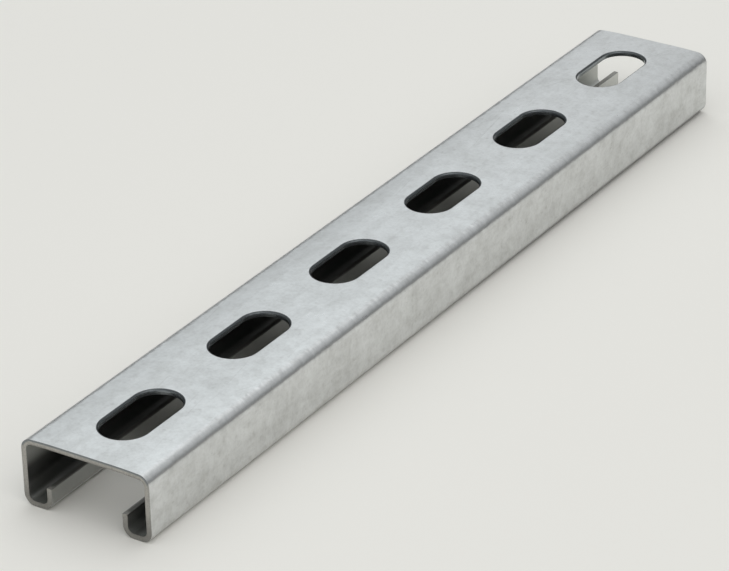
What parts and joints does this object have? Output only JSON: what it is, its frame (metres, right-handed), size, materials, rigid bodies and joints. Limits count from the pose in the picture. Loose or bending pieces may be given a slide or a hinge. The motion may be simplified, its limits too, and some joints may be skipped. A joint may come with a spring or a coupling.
{
  "type": "strut channel",
  "caption": "Short length of shallow galvanised steel strut channel: a C section with inturned lips and a row of round-ended slots along its web.",
  "frame": {"origin": "centre of the length and width, at the height of the lips' bottoms, on which the channel lies", "axes": "+X along the length, +Y across the width, +Z from the lips to the slotted web"},
  "size_m": [0.3048, 0.0412, 0.0206],
  "materials": {
    "galvanised_steel": "galvanised sheet, satin, softly mottled; bare sheared ends"
  },
  "bodies": {
    "root": {"strut_channel": "galvanised_steel"}
  },
  "joints": []
}
